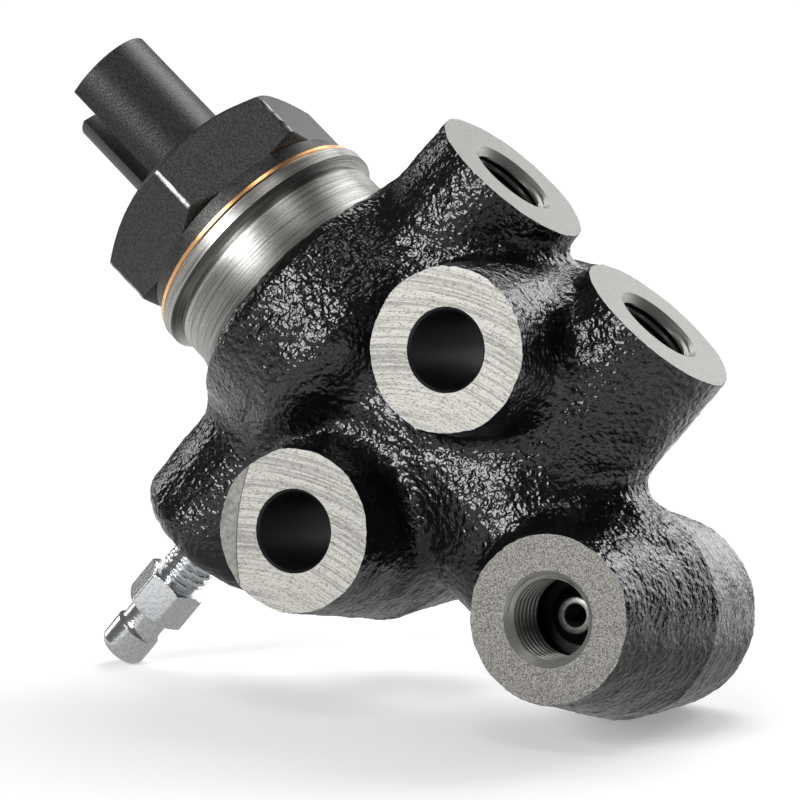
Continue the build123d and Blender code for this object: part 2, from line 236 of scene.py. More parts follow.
def bevel(piece, width, segments=2, angle=math.radians(35)):
    edge = piece.modifiers.new("edge", "BEVEL")
    edge.width = width
    edge.segments = segments
    edge.limit_method = "ANGLE"
    edge.angle_limit = angle
    bake_modifiers(piece)


def shade(piece, angle=math.radians(32)):
    piece.data.shade_smooth()
    piece.data.set_sharp_from_angle(angle=angle)


def finish_piece(piece, name, body, nodes):
    """Moves a piece from valve millimetres to its place in the row frame and ties it to the CAD."""
    piece.data.transform(VALVE_TO_ROW.to_4x4() @ Matrix.Scale(MM, 4))
    piece.name = name
    piece.data.name = name
    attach(piece, body)
    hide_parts(*nodes)


def smooth_least(values, softness):
    """Smooth minimum of several arrays: the least of them, rounded where two are nearly equal."""
    values = np.stack(np.broadcast_arrays(*values))
    least = values.min(0)
    return least - softness * np.log(np.exp((least - values) / softness).sum(0))


def hexagon_radius(angle, flats, turn):
    """Distance from the axis to a hexagon's side in each direction. turn is the angle of one corner."""
    from_face = (angle - turn) % (TAU / 6) - TAU / 12
    return flats / 2 / np.cos(from_face)


def thread_radius(angle, z, pitch, low, high, low_share, high_share):
    """A right-hand thread between two radii, each with its share of the pitch left flat."""
    phase = (z / pitch - angle / TAU) % 1
    height = np.clip((abs(2 * phase - 1) - low_share) / (1 - low_share - high_share), 0, 1)
    return low + (high - low) * height


# ---------------------------------------------------------------- the raw casting, as a distance field
def grown(*values, blend=BLEND):
    """Smooth union of several distance fields, which leaves a fillet where they meet."""
    whole = values[0]
    for value in values[1:]:
        share = np.clip(0.5 + 0.5 * (value - whole) / blend, 0, 1)
        whole = value * (1 - share) + whole * share - blend * share * (1 - share)
    return whole


def rounded(radial, axial, edge):
    """Distance to a round bar, from the distances past its side and past its end."""
    side = radial + edge
    end = axial + edge
    return np.minimum(np.maximum(side, end), 0) + np.hypot(np.maximum(side, 0), np.maximum(end, 0)) - edge


def between(value, low, high):
    return abs(value - (low + high) / 2) - (high - low) / 2


def cast_bosses(x, y, z):
    """The round bosses that stand on the main bore's column: bolts, side ports, bleed screw, end port."""
    bosses = []
    for side in (-BOLT_SIDE, BOLT_SIDE):
        radius = np.interp(y, (-BOSS_FACE, PARTING_Y, BOSS_FACE), (BOSS_FACE_R, BOSS_MID_R, BOSS_BACK_R))
        bosses.append(rounded(np.hypot(x - side, z) - radius, abs(y) - BOSS_FACE - STOCK, MACHINED_EDGE))
    for height in (UPPER_PORT_Z, LOWER_PORT_Z):
        radius = np.interp(x, (0, SIDE_PORT_FACE), (SIDE_PORT_ROOT_R, SIDE_PORT_R))
        reach = between(x, 0, SIDE_PORT_FACE + STOCK)
        bosses.append(rounded(np.hypot(y, z - height) - radius, reach, MACHINED_EDGE))
    radial = np.hypot(y, z - UPPER_PORT_Z) - BLEED_BOSS_R
    bosses.append(rounded(radial, between(x, -BLEED_BOSS_END, 0), BLEED_BOSS_EDGE))
    stations = (-END_PORT_FACE, PARTING_Y, END_LOBE_BACK)
    radius = np.interp(y, stations, (END_PORT_R, END_LOBE_R, END_LOBE_BACK_R))
    edge = np.where(y > 0, END_LOBE_EDGE, MACHINED_EDGE)
    reach = between(y, -END_PORT_FACE - STOCK, END_LOBE_BACK)
    lean = np.clip((y - PARTING_Y) / (END_LOBE_BACK - PARTING_Y), 0, 1)
    from_lobe_axis = np.hypot(x - lean * END_LOBE_LEAN_X, z - END_PORT_Z - lean * END_LOBE_LEAN_Z)
    bosses.append(rounded(from_lobe_axis - radius, reach, edge))
    return bosses


def cast_field(x, y, z):
    """Distance to the raw casting: below zero inside."""
    from_axis = np.hypot(x, y)
    middle = (HEAD_LOW + HEAD_HIGH) / 2
    head_edge = np.where(z > middle, HEAD_TOP_EDGE, HEAD_FOOT_EDGE)
    head = rounded(from_axis - HEAD_R, between(z, HEAD_LOW, HEAD_HIGH), head_edge)
    spine = rounded(from_axis - SPINE_R, between(z, END_PORT_Z, UPPER_PORT_Z), CORE_EDGE)
    bridge = rounded(
        abs(y) - BRIDGE_HALF_DEPTH,
        np.maximum(between(x, 0, BRIDGE_REACH), between(z, LOWER_PORT_Z, UPPER_PORT_Z)),
        CORE_EDGE,
    )
    web = rounded(
        abs(y) - WEB_HALF_DEPTH,
        np.maximum(between(x, -BOLT_SIDE, 0), between(z, WEB_LOW, 0)),
        CORE_EDGE,
    )
    *bosses, lobe = cast_bosses(x, y, z)
    whole = grown(head, spine, bridge, web, *bosses)
    whole = grown(whole, lobe, blend=np.where(y > PARTING_Y, END_LOBE_FILLET, BLEND))
    flash = FLASH_HEIGHT * np.exp(-((y - PARTING_Y) / FLASH_REACH) ** 2)
    return whole - flash


def sand_texture(shape, wavelength, spread, seed):
    """Smooth random bumps of about one wavelength in millimetres, with unit strength."""
    waves = np.fft.rfftn(np.random.default_rng(seed).standard_normal(shape))
    frequency = [np.fft.fftfreq(n, VOXEL) for n in shape]
    frequency[2] = np.fft.rfftfreq(shape[2], VOXEL)
    size = np.sqrt(sum(f ** 2 for f in np.meshgrid(*frequency, indexing="ij", sparse=True)))
    bumps = np.fft.irfftn(waves * np.exp(-((size * wavelength - 1) / spread) ** 2), shape)
    return bumps / bumps.std()


def corner_view(values, corner):
    """The grid of values seen at one corner of every cell."""
    return values[tuple(slice(c, n - 1 + c) for c, n in zip(corner, values.shape))]


def surface_nets(field):
    """A closed mesh of quads round the part of the grid where field < 0, in grid steps.
    Each cell that the surface crosses gets one point, and each crossed grid edge one quad."""
    inside = field < 0
    corners = list(itertools.product((0, 1), repeat=3))
    count = sum(corner_view(inside, corner).astype(np.int8) for corner in corners)
    crossed = (count > 0) & (count < 8)
    cells = np.argwhere(crossed)
    number = np.full(crossed.shape, -1)
    number[crossed] = np.arange(len(cells))

    points = np.zeros((len(cells), 3))
    crossings = np.zeros(len(cells))
    for corner in corners:
        for axis in range(3):
            if corner[axis] == 1:
                continue
            start = cells + corner
            end = start + np.eye(3, dtype=int)[axis]
            low = field[tuple(start.T)]
            high = field[tuple(end.T)]
            changes = (low < 0) != (high < 0)
            share = np.where(changes, low / np.where(changes, low - high, 1), 0)
            found = np.array(corner, float) + share[:, None] * np.eye(3)[axis]
            points += np.where(changes[:, None], found, 0)
            crossings += changes
    points = points / crossings[:, None] + cells

    quads = []
    for axis in range(3):
        step = np.eye(3, dtype=int)
        along, first, second = step[axis], step[(axis + 1) % 3], step[(axis + 2) % 3]
        inner = [slice(1, -1)] * 3
        inner[axis] = slice(0, -1)
        beyond = list(inner)
        beyond[axis] = slice(1, None)
        here, there = inside[tuple(inner)], inside[tuple(beyond)]
        for leaving, edges in ((True, here & ~there), (False, ~here & there)):
            start = np.argwhere(edges) + 1 - along
            loop = [start - first - second, start - second, start, start - first]
            if not leaving:
                loop.reverse()
            quads.append(np.stack([number[tuple(cell.T)] for cell in loop], 1))
    return points, np.concatenate(quads)


def raw_casting(paint):
    axes = [np.arange(low, high, VOXEL) for low, high in CAST_BOX]
    x, y, z = np.meshgrid(*axes, indexing="ij", sparse=True)
    field = cast_field(x, y, z)
    for amount, wavelength, spread, seed in SAND:
        field = field - amount * sand_texture(field.shape, wavelength, spread, seed)
    points, quads = surface_nets(field)
    points = points * VOXEL + np.array([low for low, high in CAST_BOX])
    return add_mesh("casting", points, quads, paint)


# ---------------------------------------------------------------- turning and milling the casting
ALONG_X = Matrix.Rotation(TAU / 4, 4, "Y")          # turns a shape drawn up Z to point along +X
ALONG_BACK_X = Matrix.Rotation(-TAU / 4, 4, "Y")
ALONG_Y = Matrix.Rotation(-TAU / 4, 4, "X")
ALONG_BACK_Y = Matrix.Rotation(TAU / 4, 4, "X")


def neck(material):
    """The turned spigot that the plug screws into, with a groove below its lip."""
    groove_mouth = GROOVE_Z - (NECK_R - GROOVE_R)
    slope, edge = 0.35, 0.3
    return column("neck", [
        (NECK_ROOT_Z, NECK_FLARE_R - 1),
        (HEAD_HIGH - 0.3, NECK_FLARE_R),
        (NECK_FLARE_TOP, NECK_R),
        (groove_mouth, NECK_R),
        (GROOVE_Z, GROOVE_R),
        (LIP_Z - slope, GROOVE_R),
        (LIP_Z + slope, LIP_R - 0.2),
        (LIP_Z + slope + 0.1, LIP_R),
        (LIP_TOP - edge, LIP_R),
        (LIP_TOP, LIP_R - edge),
    ], material, sides=192)


def stepped_bore(material):
    """The main bore, widening in steps from the bypass piston at the bottom to the plug at the top."""
    return column("bore", [
        (BYPASS_BORE_END, BYPASS_BORE_R),
        (INLET_BORE_END, BYPASS_BORE_R),
        (INLET_BORE_END, INLET_BORE_R),
        (SEAT_BORE_END, INLET_BORE_R),
        (SEAT_BORE_END, SEAT_BORE_R),
        (SPRING_BORE_END, SEAT_BORE_R),
        (SPRING_BORE_END, SPRING_BORE_R),
        (PLUG_BORE_END, SPRING_BORE_R),
        (PLUG_BORE_END, PLUG_BORE_R),
        (LIP_TOP + 1, PLUG_BORE_R),
    ], material)


def port_drill(face, reach, material):
    """A threaded port drilled down from z = face, with a relief at the bottom and a passage to z = reach."""
    angle = np.arange(96) * TAU / 96
    floor = face - PORT_FLOOR
    rows = [(reach, PASSAGE_R), (floor, PASSAGE_R)]
    rows += [(floor, PORT_RELIEF_R), (face - PORT_RELIEF, PORT_RELIEF_R)]
    for z in np.arange(face - PORT_RELIEF + 0.05, face + 0.3, 0.125):
        thread = thread_radius(angle, z, PITCH, PORT_MINOR_R, PORT_MAJOR_R, 0.4, 0.1)
        rows.append((z, np.maximum(thread, PORT_MOUTH_R - (face - z))))
    return column("drill", rows, material, sides=len(angle))


def bolt_drill(side, material):
    """A through hole for a mounting bolt, with a small chamfer at both faces."""
    chamfer = 0.3
    top = BOSS_FACE + 1
    top_r = BOLT_HOLE_R + chamfer + 1
    drill = column("drill", [
        (-top, top_r),
        (-BOSS_FACE + chamfer, BOLT_HOLE_R),
        (BOSS_FACE - chamfer, BOLT_HOLE_R),
        (top, top_r),
    ], material, sides=128)
    return shifted(turned(drill, ALONG_Y), x=side)


def mill_left_front_boss(casting, milled, sliver):
    """The cutter's sweep stops short of this boss's outer rim, which is left standing slightly proud."""
    outside = 30.0
    high = (0, -BOSS_FACE - SLIVER_HEIGHT, outside)
    cut(casting, block("slab", (-outside, -outside, -outside), high, sliver))
    sweep = column("sweep", [(BOSS_FACE, SWEEP_R), (outside, SWEEP_R)], milled, sides=256)
    turned(sweep, ALONG_BACK_Y)
    shifted(sweep, x=SWEEP_X, z=SWEEP_Z)
    far, left_limit = 2 * outside, -1
    cut(sweep, block("limit", (left_limit, -far, -far), (far, far, far), milled))
    cut(casting, sweep)


def machine(casting, metal):
    """Faces, turns and drills the raw casting. metal holds the material of each kind of cut."""
    far = 40.0
    fuse(casting, neck(metal["turned"]))
    mill_left_front_boss(casting, metal["left_face"], metal["sliver"])
    cut(casting, block("slab", (0, -far, -far), (far, -BOSS_FACE, far), metal["right_face"]))
    cut(casting, block("slab", (-far, BOSS_FACE, -far), (0, far, far), metal["left_face"]))
    cut(casting, block("slab", (0, BOSS_FACE, -far), (far, far, far), metal["right_face"]))
    cut(casting, block("slab", (SIDE_PORT_FACE, -far, -far), (far, far, far), metal["port_face"]))
    low = (-far, -far, -2 * far)
    high = (far, -END_PORT_FACE, -BOSS_MID_R - 3)       # stops short of the bolt bosses above
    cut(casting, block("slab", low, high, metal["end_face"]))
    cut(casting, stepped_bore(metal["bore"]))
    for side in (-BOLT_SIDE, BOLT_SIDE):
        cut(casting, bolt_drill(side, metal["bolt_hole"]))
    for height, bore_r, thread in (
        (UPPER_PORT_Z, SPRING_BORE_R, "upper_thread"),
        (LOWER_PORT_Z, INLET_BORE_R, "lower_thread"),
    ):
        drill = turned(port_drill(SIDE_PORT_FACE, bore_r - 1, metal[thread]), ALONG_X)
        cut(casting, shifted(drill, z=height))
    drill = turned(port_drill(END_PORT_FACE, BYPASS_BORE_R - 1, metal["end_thread"]), ALONG_BACK_Y)
    cut(casting, shifted(drill, z=END_PORT_Z))
    drill = column("drill", [
        (SPRING_BORE_R - 1, PASSAGE_R),
        (BLEED_SEAT, PASSAGE_R),
        (BLEED_SEAT + BLEED_HOLE_R, BLEED_HOLE_R),
        (BLEED_BOSS_END - 0.3, BLEED_HOLE_R),
        (BLEED_BOSS_END + 1, BLEED_HOLE_R + 1.3),
    ], metal["bore"])
    cut(casting, shifted(turned(drill, ALONG_BACK_X), z=UPPER_PORT_Z))


def shade_by_finish(piece, rough_slot=0, angle=math.radians(32)):
    """Smooth shading everywhere, with sharp edges only where the finish changes or a cut surface turns."""
    mesh = piece.data
    mesh.shade_smooth()
    loops = len(mesh.loops)
    edge_of_loop = np.zeros(loops, int)
    mesh.loops.foreach_get("edge_index", edge_of_loop)
    sizes = np.zeros(len(mesh.polygons), int)
    mesh.polygons.foreach_get("loop_total", sizes)
    face_of_loop = np.repeat(np.arange(len(sizes)), sizes)
    order = np.argsort(edge_of_loop, kind="stable")
    first, second = face_of_loop[order[0::2]], face_of_loop[order[1::2]]
    finish = np.zeros(len(sizes), int)
    mesh.polygons.foreach_get("material_index", finish)
    normals = np.zeros(3 * len(sizes))
    mesh.polygons.foreach_get("normal", normals)
    normals = normals.reshape(-1, 3)
    turns = (normals[first] * normals[second]).sum(1) < math.cos(angle)
    changes = finish[first] != finish[second]
    sharp = changes | (turns & (finish[first] != rough_slot))
    layer = mesh.attributes.get("sharp_edge") or mesh.attributes.new("sharp_edge", "BOOLEAN", "EDGE")
    layer.data.foreach_set("value", sharp)


# ---------------------------------------------------------------- plug, washer, bleed screw, port seats
def plug_head(material, sides=720):
    """Hexagon turned down at its corners by the bar stock, with a coned crown above and below."""
    angle = np.arange(sides) * TAU / sides
    flats = hexagon_radius(angle, HEX_FLATS, HEX_TURN)
    corner_r = HEX_FLATS / math.sqrt(3)
    levels = np.concatenate([
        np.linspace(HEX_LOW, HEX_CORNER_LOW, 7),
        np.linspace(HEX_CORNER_TOP - 1, HEX_TOP, 19),
    ])
    lead, edge = 0.5, 0.15
    rows = [(SHANK_END, SHANK_R - lead), (SHANK_END + lead, SHANK_R), (WASHER_TOP, SHANK_R)]
    rows += [(WASHER_TOP, COLLAR_R - edge), (WASHER_TOP + edge, COLLAR_R), (HEX_LOW, COLLAR_R)]
    for z in levels:
        foot = COLLAR_R + (z - HEX_LOW) / (HEX_CORNER_LOW - HEX_LOW) * (corner_r - COLLAR_R)
        crown = HEX_CROWN_R + (HEX_TOP - z) / (HEX_TOP - HEX_CORNER_TOP) * (corner_r - HEX_CROWN_R)
        rows.append((z, smooth_least((flats, HEX_STOCK_R, foot + 0.02, crown), 0.03)))
    return column("guide_plug_machined", rows, material, sides)


def fork(material):
    """Two tines with a slot between them. One is shorter, and both ends slope down towards -Y."""
    far = 3 * FORK_R
    tines = column("fork", [(HEX_TOP - 1, FORK_R), (LONG_TINE_TIP + 2, FORK_R)], material, sides=128)
    for tip, side in ((LONG_TINE_TIP, 1), (SHORT_TINE_TIP, -1)):
        above = spun(block("above", (-far, -far, 0), (far, far, far), material), TIP_SLOPE, "X")
        shifted(above, z=tip)
        other = block("other", (-side * far, -far, 0), (0, far, 2 * LONG_TINE_TIP), material)
        cut(above, spun(other, SLOT_TURN, "Z"))
        cut(tines, above)
    half = SLOT_WIDTH / 2
    slot = block("slot", (-half, -far, SLOT_FLOOR), (half, far, 2 * LONG_TINE_TIP), material)
    cut(tines, spun(slot, SLOT_TURN, "Z"))
    bevel(tines, 0.4, 3)
    return tines


def guide_plug(material):
    """Head, shank and fork in one, bored through for the rod and its two seals."""
    plug = plug_head(material)
    fuse(plug, fork(material))
    cut(plug, column("hole", [
        (SHANK_END - 1, SEAL_POCKET_R),
        (SEAL_POCKET_TOP, SEAL_POCKET_R),
        (SEAL_POCKET_TOP, ROD_HOLE_R),
        (DUST_POCKET_LOW, ROD_HOLE_R),
        (DUST_POCKET_LOW, DUST_POCKET_R),
        (SLOT_FLOOR, DUST_POCKET_R),
        (SLOT_FLOOR, ROD_HOLE_R),
        (LONG_TINE_TIP + 2, ROD_HOLE_R),
    ], material))
    bevel(plug, 0.15)
    return plug


def copper_washer(material):
    edge = 0.15
    low, high = LIP_TOP, WASHER_TOP
    return column("copper_washer_pressed", [
        (low, WASHER_R - edge),
        (low + edge, WASHER_R),
        (high - edge, WASHER_R),
        (high, WASHER_R - edge),
        (high, WASHER_HOLE_R),
        (low, WASHER_HOLE_R),
    ], material, sides=192, closed=True)


def bleed_screw(material, sides=192):
    """Drawn from its seat cone outwards, z measured from the main bore's axis."""
    angle = np.arange(sides) * TAU / sides
    cone_end = BLEED_TIP + BLEED_ROOT_R - BLEED_TIP_R
    rows = [(BLEED_TIP, BLEED_TIP_R), (cone_end, BLEED_ROOT_R)]
    for z in np.arange(cone_end + 0.1, BLEED_THREAD_END - 0.05, 0.1):
        run_in = BLEED_ROOT_R + abs(z - cone_end)
        run_out = BLEED_ROOT_R + abs(BLEED_THREAD_END - z)
        thread = thread_radius(angle, z, PITCH, BLEED_ROOT_R, BLEED_THREAD_R, 0.1, 0.45)
        rows.append((z, np.minimum(thread, min(run_in, run_out))))
    rows += [(BLEED_THREAD_END, BLEED_ROOT_R), (BLEED_HEX_START, BLEED_ROOT_R)]
    flats = hexagon_radius(angle, BLEED_HEX, BLEED_HEX_TURN)
    for z in np.linspace(BLEED_HEX_START, BLEED_HEX_END, 41):
        from_end = min(z - BLEED_HEX_START, BLEED_HEX_END - z)
        chamfer = BLEED_HEX / 2 - 0.05 + 1.7 * from_end
        rows.append((z, smooth_least((flats, BLEED_HEX_STOCK_R, chamfer), 0.03)))
    rows += [(BLEED_HEX_END, BLEED_NECK_R), (BLEED_BEAD_START - 0.3, BLEED_NECK_R)]
    rows += [(BLEED_BEAD_START + 0.1, BLEED_BEAD_R - 0.3), (BLEED_BEAD_START + 0.45, BLEED_BEAD_R)]
    for turn in np.linspace(0, TAU / 4, 9):
        end = BLEED_BEAD_END - BLEED_BEAD_ROUND * (1 - math.sin(turn))
        rows.append((end, BLEED_BEAD_R - BLEED_BEAD_ROUND * (1 - math.cos(turn))))
    screw = column("bleed_screw_machined", rows, material, sides)
    bore = column("bore", [(BLEED_CROSS, BLEED_BORE_R), (BLEED_BEAD_END + 1, BLEED_BORE_R)], material, 48)
    cut(screw, bore)
    reach = 2 * BLEED_THREAD_R
    cross = column("cross", [(-reach, BLEED_CROSS_R), (reach, BLEED_CROSS_R)], material, 32)
    return cut(screw, shifted(turned(cross, ALONG_X), z=BLEED_CROSS))


def coil(name, mean_r, wire_r, low, high, turns, material, sides=16):
    """A helical spring whose wire just touches the planes z = low and z = high."""
    angle = np.linspace(0, TAU * turns, round(40 * turns) + 1)
    climb = (high - low - 2 * wire_r) / angle[-1]
    flat = np.zeros_like(angle)
    outward = np.stack([np.cos(angle), np.sin(angle), flat], 1)
    forward = np.stack([-mean_r * np.sin(angle), mean_r * np.cos(angle), flat + climb], 1)
    across = np.cross(forward / np.linalg.norm(forward, axis=1)[:, None], outward)
    centre = mean_r * outward + np.stack([flat, flat, low + wire_r + climb * angle], 1)
    turn = np.arange(sides) * TAU / sides
    ring = np.cos(turn)[None, :, None] * outward[:, None] + np.sin(turn)[None, :, None] * across[:, None]
    points = centre[:, None] + wire_r * ring
    faces = [range(sides - 1, -1, -1), range((len(angle) - 1) * sides, len(angle) * sides)]
    for i in range(len(angle) - 1):
        for j in range(sides):
            k = (j + 1) % sides
            faces.append((i * sides + j, i * sides + k, (i + 1) * sides + k, (i + 1) * sides + j))
    return add_mesh(name, points.reshape(-1, 3), faces, material)


def compress(spring):
    """Gives the spring a mesh of its own."""
    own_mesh(spring)


def port_seat(name, face, material):
    """The inverted-flare seat pressed into the bottom of a port, drawn below z = face."""
    tip = face - SEAT_TIP
    floor = face - PORT_FLOOR
    return column(name, [
        (floor, SEAT_FOOT_R),
        (tip - (SEAT_FOOT_R - SEAT_TIP_R), SEAT_FOOT_R),
        (tip - 0.1, SEAT_TIP_R + 0.1),
        (tip, SEAT_TIP_R - 0.1),
        (tip, SEAT_HOLE_R + 0.1),
        (tip - 0.1, SEAT_HOLE_R),
        (floor - 2, SEAT_HOLE_R),
        (floor - 2, SEAT_SPIGOT_R),
        (floor, SEAT_SPIGOT_R),
    ], material, sides=128, closed=True)


# ---------------------------------------------------------------- finishes
ROW_TO_VALVE = VALVE_TO_ROW.transposed()


def new_finish(name, colour, metallic, roughness):
    material = bpy.data.materials.new(name)
    material.use_nodes = True
    shader = material.node_tree.nodes["Principled BSDF"]
    shader.inputs["Base Color"].default_value = grey(colour)
    shader.inputs["Metallic"].default_value = metallic
    shader.inputs["Roughness"].default_value = roughness
    return material


def grey(value):
    """A colour from one number, or from three."""
    red, green, blue = (value,) * 3 if isinstance(value, float) else value
    return red, green, blue, 1.0


def node(material, kind, inputs, **settings):
    """Adds a shader node. Each input is a value, or another node's output."""
    made = material.node_tree.nodes.new("ShaderNode" + kind)
    for key, value in settings.items():
        setattr(made, key, value)
    for key, value in inputs.items():
        if isinstance(value, bpy.types.NodeSocket):
            material.node_tree.links.new(value, made.inputs[key])
        else:
            made.inputs[key].default_value = value
    return made


def wire(material, output, name):
    shader = material.node_tree.nodes["Principled BSDF"]
    material.node_tree.links.new(output, shader.inputs[name])


def sums(material, operation, *values):
    return node(material, "Math", dict(enumerate(values)), operation=operation).outputs[0]


def valve_position(material):
    """Where a point is in the valve's own axes, in millimetres."""
    place = node(material, "TexCoord", {}).outputs["Object"]
    turn = tuple(ROW_TO_VALVE.to_euler())
    return node(material, "Mapping", {"Vector": place, "Rotation": turn, "Scale": (1 / MM,) * 3}).outputs[0]


def ring_position(material, axis, centre=(0, 0, 0), stretch=0.12):
    """Coordinates for marks that run round an axis: distance out, distance along, and slowly round."""
    offset = node(material, "VectorMath", {0: valve_position(material), 1: centre}, operation="SUBTRACT")
    parts = node(material, "SeparateXYZ", {0: offset.outputs[0]}).outputs
    first, second = [parts[i] for i in range(3) if i != axis]
    out = sums(material, "SQRT", sums(material, "ADD", sums(material, "POWER", first, 2.0),
                                      sums(material, "POWER", second, 2.0)))
    around = sums(material, "MULTIPLY", sums(material, "ARCTAN2", second, first), out)
    slow = sums(material, "MULTIPLY", around, stretch)
    return node(material, "CombineXYZ", {0: out, 1: parts[axis], 2: slow}).outputs[0]


def noise(material, position, size, detail=2.0):
    return node(material, "TexNoise", {"Vector": position, "Scale": 1 / size, "Detail": detail}).outputs[0]


def graded(material, value, *stops):
    """A colour ramp through stops of (position, colour)."""
    ramp = node(material, "ValToRGB", {0: value})
    places = ramp.color_ramp.elements
    places[0].position, places[1].position = stops[0][0], stops[-1][0]
    for position, colour in stops[1:-1]:
        places.new(position)
    for place, (position, colour) in zip(places, stops):
        place.color = grey(colour)
    return ramp.outputs[0]


def scaled(material, value, low, high):
    return node(material, "MapRange", {0: value, 3: low, 4: high}).outputs[0]


def multiplied(material, first, second):
    mix = node(material, "Mix", {0: 1.0, 6: first, 7: second}, data_type="RGBA", blend_type="MULTIPLY")
    return mix.outputs[2]


def base_colour(material):
    """What feeds the material's base colour so far."""
    shader = material.node_tree.nodes["Principled BSDF"]
    return shader.inputs["Base Color"].links[0].from_socket


def darkened(material, amount):
    """Multiplies the base colour by an amount that changes over the surface."""
    wire(material, multiplied(material, base_colour(material), amount), "Base Color")


def bumped(material, height, depth_mm):
    bump = node(material, "Bump", {"Height": height, "Distance": depth_mm * MM, "Strength": 1.0})
    wire(material, bump.outputs[0], "Normal")


def cast_paint():
    """Thick gloss black over a sand-cast skin."""
    paint = new_finish("painted_casting", 0.003, 0.0, 0.2)
    paint.node_tree.nodes["Principled BSDF"].inputs["Specular IOR Level"].default_value = 0.5
    place = valve_position(paint)
    fine = noise(paint, place, 0.62, 0.9)
    coarse = noise(paint, place, 4.0)
    wire(paint, scaled(paint, coarse, 0.16, 0.26), "Roughness")
    bumped(paint, fine, 0.23)
    return paint


def milled_iron(name, centre, light, arc_dark=0.6, pore_dark=0.45):
    """A face cut by a fly cutter: long arcs round the cutter's centre, and small dark graphite pores."""
    iron = new_finish(name, light, 0.55, 0.5)
    arcs = noise(iron, ring_position(iron, 1, centre, 0.02), 0.3, 4.0)
    pores = noise(iron, ring_position(iron, 1, centre, 0.45), 0.13, 3.0)
    arc_tone = graded(iron, arcs, (0.38, arc_dark), (0.56, 1.0))
    pore_tone = graded(iron, pores, (0.34, pore_dark), (0.48, 1.0))
    wire(iron, multiplied(iron, multiplied(iron, arc_tone, pore_tone), grey(light)), "Base Color")
    bumped(iron, multiplied(iron, arc_tone, pore_tone), 0.012)
    return iron


def threaded_iron(name, axis, centre, face):
    """A cut thread, with painted shade darkening its roots and the bottom of the port, its crests and its mouth's
    chamfer left light.
    """
    iron = new_finish(name, 0.2, 0.6, 0.4)
    # Painted shade: dark in the thread's roots and towards the port's bottom, light on the crests and the mouth's
    # chamfer.
    out, along = node(iron, "SeparateXYZ", {0: ring_position(iron, axis, centre)}).outputs[:2]
    depth = node(iron, "MapRange", {0: out, 1: PORT_MINOR_R, 2: PORT_MAJOR_R}).outputs[0]
    crest = graded(iron, depth, (0.1, 1.0), (0.5, 0.06))
    to_face = sums(iron, "ABSOLUTE", along)
    mouth = node(iron, "MapRange", {0: to_face, 1: face - 0.9, 2: face - 0.8}).outputs[0]
    unshaded = sums(iron, "MAXIMUM", crest, mouth)
    deep = {0: to_face, 1: face - PORT_RELIEF, 2: face - PORT_RELIEF + 1, 3: 0.1, 4: 1.0}
    unshaded = sums(iron, "MULTIPLY", unshaded, node(iron, "MapRange", deep).outputs[0])
    wire(iron, multiplied(iron, unshaded, grey((0.28, 0.275, 0.26))), "Base Color")
    return iron


def turned_steel(name, light, roughness, dark=0.6, depth_mm=0.012, size=0.16, stretch=0.03):
    """Metal cut on a lathe: fine rings about the main bore's axis, and random grain between them."""
    steel = new_finish(name, light, 1.0, roughness)
    rings = noise(steel, ring_position(steel, 2, (0, 0, 0), stretch), size, 3.0)
    grain = noise(steel, valve_position(steel), 0.22, 2.0)
    tone = multiplied(steel, graded(steel, rings, (0.4, dark), (0.56, 1.0)), grey(light))
    tone = multiplied(steel, tone, graded(steel, grain, (0.35, 0.8), (0.6, 1.0)))
    wire(steel, tone, "Base Color")
    bumped(steel, rings, depth_mm)
    return steel


def turned_neck():
    """The body's turned neck, with painted shade darkening the groove and the underside of the flange."""
    steel = turned_steel("turned_neck", (0.38, 0.375, 0.355), 0.36, 0.5, 0.02, 0.13, 0.015)
    # Painted shade: the base colour is darkened in the groove below the lip and on the flange's underside.
    height = node(steel, "SeparateXYZ", {0: valve_position(steel)}).outputs[2]
    along = node(steel, "MapRange", {0: height, 1: GROOVE_Z - 1, 2: LIP_Z + 1}).outputs[0]
    painted_shade = graded(steel, along, (0.34, 1.0), (0.38, 0.25), (0.5, 0.25), (0.54, 1.0))
    darkened(steel, painted_shade)
    return steel


def grained(name, light, metallic, roughness, size, depth_mm, dark=0.6):
    """A plain surface with random grain of one size, which reaches a depth and darkens the colour."""
    made = new_finish(name, light, metallic, roughness)
    grain = noise(made, valve_position(made), size, 3.0)
    wire(made, multiplied(made, graded(made, grain, (0.35, dark), (0.65, 1.0)), grey(light)), "Base Color")
    bumped(made, grain, depth_mm)
    return made


def blackened_steel():
    """Dark grainy oxide, lighter in places along the hexagon's corners: partly oxide worn through, partly a
    painted highlight on the corner edges.
    """
    steel = grained("blackened_steel", (0.08, 0.08, 0.079), 0.9, 0.42, 0.24, 0.03, 0.42)
    # Lighter patches on the hexagon's corners: partly wear, partly a painted highlight along the edges.
    out = node(steel, "SeparateXYZ", {0: ring_position(steel, 2)}).outputs[0]
    corner = node(steel, "MapRange", {0: out, 1: HEX_STOCK_R - 0.06, 2: HEX_STOCK_R - 0.02}).outputs[0]
    spots = noise(steel, valve_position(steel), 1.5)
    patches = node(steel, "MapRange", {0: spots, 1: 0.35, 2: 0.6}).outputs[0]
    wear_and_highlight = sums(steel, "MULTIPLY", corner, patches)
    mix = node(steel, "Mix", {0: wear_and_highlight, 6: base_colour(steel), 7: grey(0.5)}, data_type="RGBA")
    wire(steel, mix.outputs[2], "Base Color")
    return steel


def seat_steel(name, axis, centre):
    """Bright on the tip that the pipe's flare presses on, dull and dark on the flank below it."""
    steel = grained(name, (0.2, 0.196, 0.188), 0.8, 0.35, 0.3, 0.01)
    out = node(steel, "SeparateXYZ", {0: ring_position(steel, axis, centre)}).outputs[0]
    flank = node(steel, "MapRange", {0: out, 1: SEAT_TIP_R - 0.05, 2: SEAT_TIP_R + 0.1}).outputs[0]
    darkened(steel, graded(steel, flank, (0.0, 1.0), (1.0, 0.12)))
    return steel


